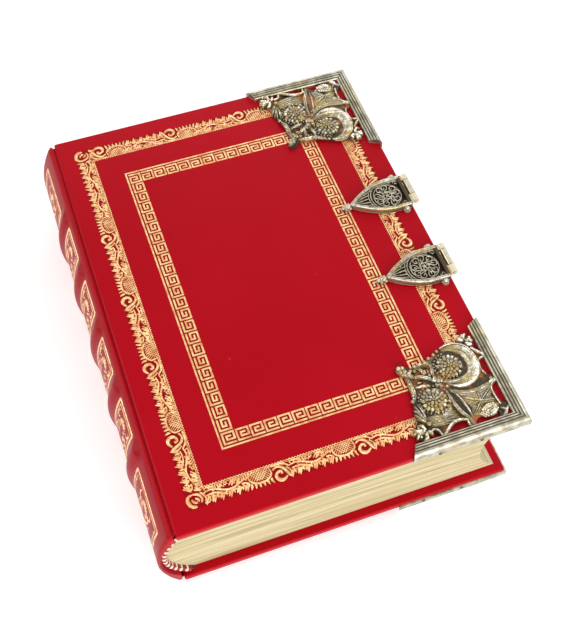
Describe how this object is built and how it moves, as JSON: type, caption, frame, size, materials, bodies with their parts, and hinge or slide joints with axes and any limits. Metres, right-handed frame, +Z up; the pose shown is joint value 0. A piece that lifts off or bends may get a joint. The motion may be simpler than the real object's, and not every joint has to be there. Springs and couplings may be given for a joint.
{
  "type": "antique leather book",
  "caption": "Closed antique book in red leather with raised spine bands, corner mounts in cast openwork and hinged clasps.",
  "frame": {"origin": "bottom centre of the closed book as it lies on its lower cover", "axes": "+X from the spine to the fore-edge, +Y from the tail to the head, +Z up through the covers"},
  "size_m": [0.1692, 0.2178, 0.0616],
  "materials": {
    "red_leather": "polished goatskin, gold tooled",
    "leaves": "trimmed leaf edges",
    "endpaper": "plain laid paper",
    "board_card": "pressed millboard",
    "liner_card": "pasted paper and card",
    "cord_linen": "twisted linen cord",
    "headband_silk": "white and red silk",
    "silver_gilt": "worn silver gilt",
    "cast_silver_gilt": "cast and chased, dark in the recesses",
    "filigree_silver": "darkened wirework"
  },
  "bodies": {
    "lower_cover": {"lower_cover_leather": "red_leather", "lower_board": "board_card", "lower_pastedown": "endpaper", "corner_frame_lower_tail": "silver_gilt", "corner_openwork_lower_tail": "cast_silver_gilt", "corner_rosettes_lower_tail": "cast_silver_gilt", "corner_nails_lower_tail": "silver_gilt", "corner_frame_lower_head": "silver_gilt", "corner_openwork_lower_head": "cast_silver_gilt", "corner_rosettes_lower_head": "cast_silver_gilt", "corner_nails_lower_head": "silver_gilt", "catch_plate_tail": "silver_gilt", "catch_peg_tail": "silver_gilt", "catch_plate_head": "silver_gilt", "catch_peg_head": "silver_gilt"},
    "book_block": {"text_block": "leaves", "spine_leather": "red_leather", "spine_liner": "liner_card", "headband_tail": "headband_silk", "headband_head": "headband_silk", "band_cord_1": "cord_linen", "band_cord_2": "cord_linen", "band_cord_3": "cord_linen", "band_cord_4": "cord_linen", "band_cord_5": "cord_linen"},
    "upper_cover": {"upper_cover_leather": "red_leather", "upper_board": "board_card", "upper_pastedown": "endpaper", "corner_frame_upper_tail": "silver_gilt", "corner_openwork_upper_tail": "cast_silver_gilt", "corner_rosettes_upper_tail": "cast_silver_gilt", "corner_nails_upper_tail": "silver_gilt", "corner_frame_upper_head": "silver_gilt", "corner_openwork_upper_head": "cast_silver_gilt", "corner_rosettes_upper_head": "cast_silver_gilt", "corner_nails_upper_head": "silver_gilt", "clasp_shield_tail": "silver_gilt", "clasp_filigree_tail": "filigree_silver", "clasp_rivets_tail": "silver_gilt", "clasp_pin_tail": "silver_gilt", "clasp_shield_head": "silver_gilt", "clasp_filigree_head": "filigree_silver", "clasp_rivets_head": "silver_gilt", "clasp_pin_head": "silver_gilt"},
    "strap_tail": {"clasp_strap_tail": "silver_gilt"},
    "strap_head": {"clasp_strap_head": "silver_gilt"}
  },
  "joints": [
    {"name": "lower_cover_hinge", "type": "hinge", "parent": "lower_cover", "child": "book_block", "pos_m": [-0.0754, 0, 0.0038], "axis": [0, -1, 0], "range_deg": [0, 180]},
    {"name": "upper_cover_hinge", "type": "hinge", "parent": "book_block", "child": "upper_cover", "pos_m": [-0.0754, 0, 0.0578], "axis": [0, -1, 0], "range_deg": [0, 180]},
    {"name": "clasp_tail_hinge", "type": "hinge", "parent": "upper_cover", "child": "strap_tail", "pos_m": [0.0825, -0.022, 0.0588], "axis": [0, -1, 0], "range_deg": [0, 180]},
    {"name": "clasp_head_hinge", "type": "hinge", "parent": "upper_cover", "child": "strap_head", "pos_m": [0.0825, 0.022, 0.0588], "axis": [0, -1, 0], "range_deg": [0, 180]}
  ]
}
